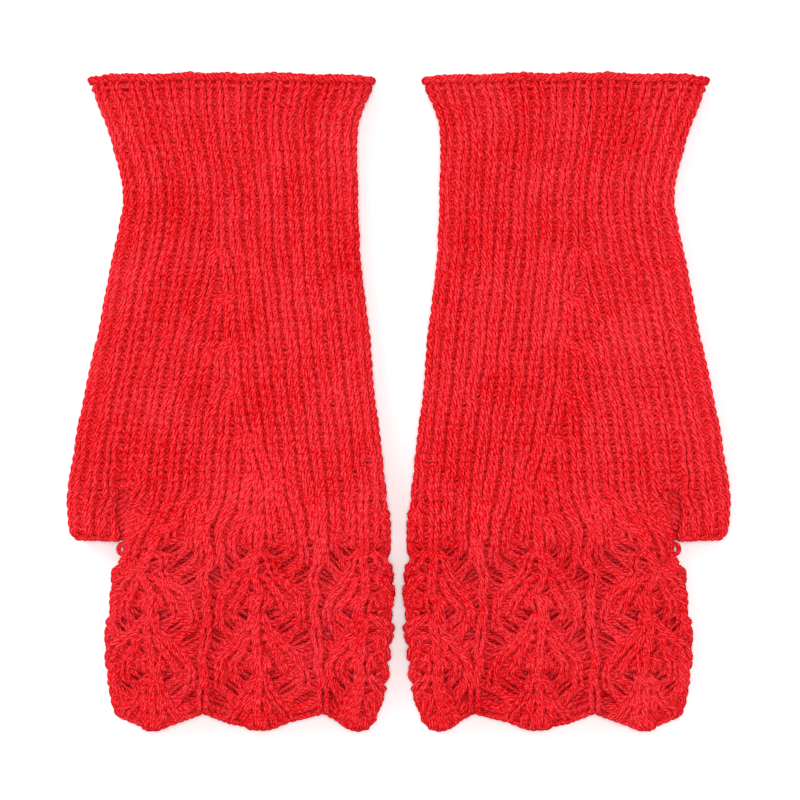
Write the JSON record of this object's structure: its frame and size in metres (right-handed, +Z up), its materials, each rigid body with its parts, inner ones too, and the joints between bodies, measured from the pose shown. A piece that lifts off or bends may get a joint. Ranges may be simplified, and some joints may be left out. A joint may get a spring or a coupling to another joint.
{
  "type": "pair of fingerless knitted gloves",
  "caption": "Pair of fingerless gloves in plain knitting, each a flattened tube open at arm, fingers and thumb, with a scalloped lace cuff.",
  "frame": {"origin": "on the table, under the middle of the pair", "axes": "+Z up from the table, +Y from the finger openings to the arm openings, +X from the left-lying glove to the right-lying one"},
  "size_m": [0.2262, 0.223, 0.011],
  "materials": {
    "red_wool_knit": "matt plied wool in plain knitting",
    "red_wool_edge": "matt plied wool in bound-off and cast-on ridges",
    "red_wool_yarn_end": "matt plied wool, a single end of yarn"
  },
  "bodies": {
    "left_hand": {"left_hand_tube": "red_wool_knit", "left_lace_band": "red_wool_knit", "left_thumb_yarn_end": "red_wool_yarn_end"},
    "left_arm": {"left_arm_tube": "red_wool_knit", "left_arm_edge": "red_wool_edge", "left_arm_yarn_end": "red_wool_yarn_end"},
    "left_thumb": {"left_thumb_tube": "red_wool_knit", "left_thumb_edge": "red_wool_edge"},
    "left_cuff": {"left_lace_cuff": "red_wool_knit", "left_cast_on_edge": "red_wool_edge", "left_cast_on_yarn_end": "red_wool_yarn_end"},
    "right_hand": {"right_hand_tube": "red_wool_knit", "right_lace_band": "red_wool_knit", "right_thumb_yarn_end": "red_wool_yarn_end"},
    "right_arm": {"right_arm_tube": "red_wool_knit", "right_arm_edge": "red_wool_edge", "right_arm_yarn_end": "red_wool_yarn_end"},
    "right_thumb": {"right_thumb_tube": "red_wool_knit", "right_thumb_edge": "red_wool_edge"},
    "right_cuff": {"right_lace_cuff": "red_wool_knit", "right_cast_on_edge": "red_wool_edge", "right_cast_on_yarn_end": "red_wool_yarn_end"}
  },
  "joints": [
    {"name": "left_arm_fold", "type": "hinge", "parent": "left_hand", "child": "left_arm", "pos_m": [-0.055, 0.058, 0.011], "axis": [1, 0, 0], "range_deg": [0, 160]},
    {"name": "left_cuff_fold", "type": "hinge", "parent": "left_hand", "child": "left_cuff", "pos_m": [-0.05, -0.0815, 0.011], "axis": [-1, 0, 0], "range_deg": [0, 160]},
    {"name": "left_thumb_fold", "type": "hinge", "parent": "left_hand", "child": "left_thumb", "pos_m": [-0.1033, -0.031, 0.011], "axis": [-1, 0, 0], "range_deg": [0, 120]},
    {"name": "right_glove_lift", "type": "slide", "parent": "left_hand", "child": "right_hand", "axis": [0, 0, 1], "range_m": [0, 0.1]},
    {"name": "right_arm_fold", "type": "hinge", "parent": "right_hand", "child": "right_arm", "pos_m": [0.055, 0.058, 0.011], "axis": [1, 0, 0], "range_deg": [0, 160]},
    {"name": "right_cuff_fold", "type": "hinge", "parent": "right_hand", "child": "right_cuff", "pos_m": [0.05, -0.0815, 0.011], "axis": [-1, 0, 0], "range_deg": [0, 160]},
    {"name": "right_thumb_fold", "type": "hinge", "parent": "right_hand", "child": "right_thumb", "pos_m": [0.1033, -0.031, 0.011], "axis": [-1, 0, 0], "range_deg": [0, 120]}
  ]
}
